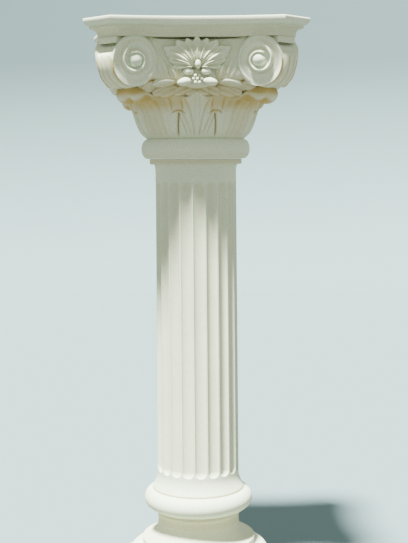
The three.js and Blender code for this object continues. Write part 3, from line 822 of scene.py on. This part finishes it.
def palmette(sizes, root_z, reach):
    """The palmette as one fan of blunt ribbed lobes round its root."""
    turn = np.linspace(-6, 186, 193)[None, :]
    s = np.linspace(0, 1, 38)[:, None]
    folded = 90 - np.abs(turn - 90)
    scale = sizes.palmette_height / 53
    # At each angle the lobe that reaches furthest gives the edge
    edge = np.full(folded.shape, 20 * scale)
    half = np.full(folded.shape, 15.0)
    step = np.zeros(folded.shape)
    offset = np.zeros(folded.shape)
    for middle, far, spread, back, blunt in PALMETTE:
        off = (folded - middle) / spread
        end = far * scale * (1 - 0.26 * np.abs(off) ** blunt)
        ahead = (end > edge) & (np.abs(off) < 1.3)
        edge = np.where(ahead, end, edge)
        step = np.where(ahead, -back * MM, step)
        offset = np.where(ahead, off, offset)
        half = np.where(ahead, spread, half)
    rib_pitch = 11.5
    rib = np.abs((offset * half / rib_pitch + 0.5) % 1 - 0.5) * 2
    edge = edge * (1 - 0.035 * rib**2)
    dome = np.clip(1 - offset**2, 0, 1)
    x = s * edge * np.cos(np.radians(turn))
    z = root_z + s * edge * np.sin(np.radians(turn))
    bulge = 9 * MM * smooth(s, 0, 0.4) - 8 * MM * smooth(s, 0.45, 0.9) + 2.5 * MM * smooth(s, 0.8, 0.95)
    ribs = sizes.rib_height * (1 - rib**0.9) * smooth(s, 0.08, 0.3) * (1 - 0.75 * smooth(s, 0.55, 0.9))
    lift = 2 * MM * dome * smooth(s, 0.2, 0.7) + step * smooth(s, 0.2, 0.5)
    y = reach + bulge + ribs + lift - 17 * MM * smooth(s, 0.955, 1) ** 2
    # Ochre between the lobes and the ribs, less towards the tips: patina and painted shade
    patina_and_shade = 0.08 + 0.4 * (1 - dome) ** 2 * smooth(s, 0.1, 0.4) + 0.25 * rib**2 * smooth(s, 0.1, 0.3)
    patina_and_shade = patina_and_shade * (1 - 0.5 * smooth(s, 0.5, 0.9))
    return np.stack([x, -y, z], axis=-1), patina_and_shade


def backing(abacus, frieze_z):
    """The swelling ground behind the ornament, from the leaves up to the abacus."""
    across = np.linspace(-1, 1, 70)[None, :]
    up = np.linspace(0, 1, 48)[:, None]
    hem = -8 + 9 * smooth(np.abs(across), 0.45, 0.85) + 1.5 * np.sin(across * 25)
    height = blend(hem * MM, abacus.frieze_height + MM, up)
    front = abacus.core_half_width - abacus.core_hollow * (1 - across**2)
    swell = 16 * MM * smooth(up, 0.02, 0.35) + 2 * MM * smooth(np.abs(across), 0.25, 0.7) * up
    swell = swell * (1 - smooth(np.abs(across), 0.8, 1)) - 3 * MM * smooth(np.abs(across), 0.9, 1)
    wave = 0.012 * np.sin(across * 31) + 0.02 * across**2
    groove = dent(up - 0.19 - wave, 0.022) * (1 - smooth(np.abs(across), 0.75, 0.9))
    swell = swell - 6 * MM * groove
    slot = 12 * MM * smooth(up, 0.955, 0.975) * (1 - smooth(np.abs(across), 0.6, 0.8))
    tuck = 9 * MM * (1 - smooth(up, 0, 0.13)) * smooth(np.abs(across), 0.55, 0.9)
    reach = front + swell - slot - tuck
    x = across * (abacus.core_half_width - abacus.core_cut) + 0 * up
    # Ochre low down behind the leaves, under the abacus and in the groove: patina and painted shade
    patina_and_shade = 0.15 + 0.35 * (1 - smooth(up, 0.1, 0.5)) + 0.4 * smooth(up, 0.95, 0.98) + groove
    return np.stack([x, -reach, frieze_z + height + 0 * across], axis=-1), patina_and_shade


class COLUMN_OT_ornament(bpy.types.Operator):
    """Makes the palmette, the flower and the sprays of each face"""

    bl_idname = "column.ornament"
    bl_label = "Palmettes and flowers"

    def execute(self, context):
        sizes = context.scene.column_ornament
        abacus = context.scene.column_abacus
        casting = Casting()
        frieze_z = frieze_levels(context.scene)[0]
        front = abacus.core_half_width - abacus.core_hollow
        casting.add_faces(*backing(abacus, frieze_z))
        # The rim leaves get extra ochre: patina and painted shade under the frieze
        for start, end, width in RIM_LEAVES:
            for side in (-1, 1):
                stem = (side * start[0] * MM, frieze_z + start[1] * MM, front + 4 * MM)
                tip_reach = front + (4 + end[0] * 0.02) * MM
                tip = (side * end[0] * MM, frieze_z + end[1] * MM, tip_reach)
                leaf = lobe(stem, None, tip, width * MM, 5 * MM, ribs=2, blunt=0.35, shape=1.0, tint=0.42)
                casting.add_faces(*leaf)
        root_z = frieze_z + sizes.palmette_root
        casting.add_faces(*palmette(sizes, root_z, front + sizes.palmette_root_reach))

        z = frieze_z + sizes.flower_z
        reach = sizes.flower_reach - 2 * MM

        def place(point, side):
            """A point given in millimetres from the flower, on one side of it."""
            return point and (side * point[0] * MM, z + point[1] * MM, reach + point[2] * MM)

        rows = [(row, side) for side in (-1, 1) for row in SPRAYS] + [(row, 1) for row in MIDDLE_LOBES]
        for (root, bend, tip, width, crest, style), side in rows:
            ends = (place(point, side) for point in (root, bend, tip))
            casting.add_faces(*lobe(*ends, width * MM, crest * MM, **style))
        turn = np.linspace(0, 2 * math.pi, 12, endpoint=False)[None, :]
        rise = np.linspace(0, math.pi / 2, 6)[:, None]
        ball = sizes.bead_radius
        for x, dz in BEADS:
            grid = np.stack([
                x * MM + ball * np.cos(turn) * np.cos(rise),
                -(reach + MM + 1.1 * ball * np.sin(rise)) + 0 * turn,
                z + dz * MM + ball * np.sin(turn) * np.cos(rise),
            ], axis=-1)
            # Ochre round each bead's edge: painted shade
            casting.add_faces(grid, 0.5 * (1 - np.sin(rise)) + 0 * turn, True)
        casting.finish("ornament_casting", "capital")
        return {"FINISHED"}


class COLUMN_OT_abacus(bpy.types.Operator):
    """Makes the abacus, its corner blocks and the core under it"""

    bl_idname = "column.abacus"
    bl_label = "Abacus"

    def execute(self, context):
        sizes = context.scene.column_abacus
        volutes = context.scene.column_volutes
        casting = Casting()
        frieze_z, abacus_z = frieze_levels(context.scene)
        cove_z = abacus_z + sizes.foot_height
        fillet_z = cove_z + sizes.cove_height
        nose_z = fillet_z + sizes.fillet_height
        top = nose_z + sizes.nose_height
        foot = sizes.nose_depth + MM + sizes.cove_depth
        cove = [
            (foot - sizes.cove_depth * (1 - math.cos(a)), cove_z + sizes.cove_height * math.sin(a))
            for a in np.linspace(0.05, math.pi / 2, 12)
        ]
        nose = [
            (sizes.nose_depth * (1 - math.sin(a)), nose_z + sizes.nose_height * 0.8 * (1 - math.cos(a)))
            for a in np.linspace(0.05, math.pi / 2, 12)
        ]
        profile = [
            (foot + 60 * MM, abacus_z), (foot + 0.6 * MM, abacus_z), (foot, abacus_z + 0.6 * MM),
            (foot, cove_z), *cove,
            (sizes.nose_depth + MM, fillet_z + 0.4 * MM), (sizes.nose_depth + MM, nose_z - 0.3 * MM),
            *nose, (0, top - 1.5 * MM), (0.5 * MM, top - 0.5 * MM), (1.5 * MM, top), (30 * MM, top),
        ]
        grid = np.stack([
            plan(sizes.half_width - inset, sizes.cut - min(inset, 40 * MM) * 0.4, sizes.hollow, 36)
            + np.array([0, 0, z]) for inset, z in profile
        ])
        hub = np.zeros((1, grid.shape[1], 3)) + np.array([0, 0, top])
        grid = np.concatenate([grid, hub])
        # Ochre under the abacus and in its hollow moulding: painted shade, tinted warm like light bounced
        # up from below
        under = len(cove) + 5
        shade_below = np.array([0.22] * under + [0] * (len(grid) - under))[:, None]
        casting.add(grid, np.broadcast_to(shade_below, grid.shape[:2]), True, (0, 0, abacus_z + 15 * MM))
        core = np.stack([
            plan(sizes.core_half_width, sizes.core_cut, sizes.core_hollow, 24) + np.array([0, 0, z])
            for z in (frieze_z + 9 * MM, abacus_z + MM)
        ])
        # The core behind the volutes gets much ochre: patina and painted shade
        casting.add(core, 0.55, True)
        outer = (2 * (sizes.half_width - foot) - sizes.cut) / math.sqrt(2) + volutes.block_reach
        half = volutes.block_width / 2
        height = volutes.block_height
        edge = 1.2 * MM
        block = []
        for inset in (edge, 0, 0, edge):
            side = half - inset
            face = outer - inset
            block.append([(40 * MM, -side), (face, -side), (face, side), (40 * MM, side)])
        c = math.sqrt(0.5)
        grid = np.array([
            [(x * c - y * c, -x * c - y * c, abacus_z - height + z) for x, y in ring]
            for ring, z in zip(block, (0, edge, height - edge, height))
        ])
        casting.add_faces(grid, 0.12)
        casting.finish("abacus_casting", "capital", math.radians(30))
        return {"FINISHED"}


class COLUMN_OT_studio(bpy.types.Operator):
    """Sets up the floor with its backdrop, the light and the camera"""

    bl_idname = "column.studio"
    bl_label = "Studio"

    def execute(self, context):
        settings = context.scene.column_studio
        material = bpy.data.materials.new("studio paper")
        material.use_nodes = True
        shader = material.node_tree.nodes["Principled BSDF"]
        shader.inputs["Base Color"].default_value = (*settings.backdrop, 1)
        shader.inputs["Roughness"].default_value = 1.0
        shader.inputs["Specular IOR Level"].default_value = 0.0
        floor_radius, bend_radius, backdrop_height, segments = 4.5, 1.5, 3.6, 96
        bend = arc(floor_radius, bend_radius, bend_radius, bend_radius, -90, 0, 24)
        profile = [(MM, 0), (2.0, 0), *bend, (floor_radius + bend_radius, backdrop_height)]
        grid = turned(profile, segments)
        index = np.arange(grid.shape[0] * segments).reshape(grid.shape[0], segments)
        index = np.hstack([index, index[:, :1]])
        quads = np.stack([index[:-1, :-1], index[:-1, 1:], index[1:, 1:], index[1:, :-1]], axis=-1)
        mesh = bpy.data.meshes.new("studio_floor")
        mesh.from_pydata(grid.reshape(-1, 3).tolist(), [], quads.reshape(-1, 4).tolist())
        mesh.polygons.foreach_set("use_smooth", [True] * len(mesh.polygons))
        mesh.materials.append(material)
        floor = bpy.data.objects.new("studio_floor", mesh)
        context.scene.collection.objects.link(floor)
        floor.visible_diffuse = False

        world = bpy.data.worlds.new("studio")
        world.use_nodes = True
        sky = world.node_tree.nodes["Background"]
        sky.inputs["Color"].default_value = (*settings.sky_colour, 1)
        sky.inputs["Strength"].default_value = settings.fill_strength
        context.scene.world = world

        lamp = bpy.data.lights.new("key_light", "SUN")
        lamp.energy = settings.sun_strength
        lamp.angle = settings.sun_spread
        lamp.color = settings.sun_colour
        key = bpy.data.objects.new("key_light", lamp)
        context.scene.collection.objects.link(key)
        side = settings.sun_side - settings.yaw
        beam = Vector((
            math.sin(side) * math.cos(settings.sun_height),
            math.cos(side) * math.cos(settings.sun_height),
            -math.sin(settings.sun_height),
        ))
        key.rotation_mode = "QUATERNION"
        key.rotation_quaternion = beam.to_track_quat("-Z", "Y")

        camera_data = bpy.data.cameras.new("camera")
        camera_data.lens = settings.lens
        camera_data.sensor_width = 36
        camera_data.clip_end = 50
        camera = bpy.data.objects.new("camera", camera_data)
        context.scene.collection.objects.link(camera)
        round_column = Matrix.Rotation(settings.yaw, 4, "Z")
        place = Vector((settings.sideways, -settings.distance, settings.eye_height))
        tilt = Matrix.Rotation(math.pi / 2 - settings.pitch, 4, "X")
        roll = Matrix.Rotation(settings.roll, 4, "Z")
        camera.matrix_world = round_column @ Matrix.Translation(place) @ tilt @ roll
        context.scene.camera = camera
        return {"FINISHED"}


GROUPS = {
    "column_base": BaseSizes,
    "column_shaft": ShaftSizes,
    "column_bell": BellSizes,
    "column_volutes": VoluteSizes,
    "column_ornament": OrnamentSizes,
    "column_abacus": AbacusSizes,
    "column_stone": StoneFinish,
    "column_studio": StudioSettings,
}

OPERATORS = (
    COLUMN_OT_base,
    COLUMN_OT_shaft,
    COLUMN_OT_bell,
    COLUMN_OT_volutes,
    COLUMN_OT_ornament,
    COLUMN_OT_abacus,
    COLUMN_OT_studio,
)


class COLUMN_PT_panel(bpy.types.Panel):
    """Lists the column's pieces and their sizes"""

    bl_idname = "COLUMN_PT_panel"
    bl_label = "Pedestal Column"
    bl_space_type = "VIEW_3D"
    bl_region_type = "UI"
    bl_category = "Column"

    def draw(self, context):
        layout = self.layout
        for operator in OPERATORS:
            layout.operator(operator.bl_idname)
        for name, group in GROUPS.items():
            box = layout.box()
            for key in group.__annotations__:
                box.prop(getattr(context.scene, name), key)


def register():
    for group in GROUPS.values():
        bpy.utils.register_class(group)
    for name, group in GROUPS.items():
        setattr(bpy.types.Scene, name, bpy.props.PointerProperty(type=group))
    for operator in OPERATORS:
        bpy.utils.register_class(operator)
    bpy.utils.register_class(COLUMN_PT_panel)


def unregister():
    bpy.utils.unregister_class(COLUMN_PT_panel)
    for operator in reversed(OPERATORS):
        bpy.utils.unregister_class(operator)
    for name in GROUPS:
        delattr(bpy.types.Scene, name)
    for group in reversed(list(GROUPS.values())):
        bpy.utils.unregister_class(group)


def main():
    register()
    bpy.ops.column.base()
    bpy.ops.column.shaft()
    bpy.ops.column.bell()
    bpy.ops.column.volutes()
    bpy.ops.column.ornament()
    bpy.ops.column.abacus()
    bpy.ops.column.studio()


if __name__ == "__main__":
    main()
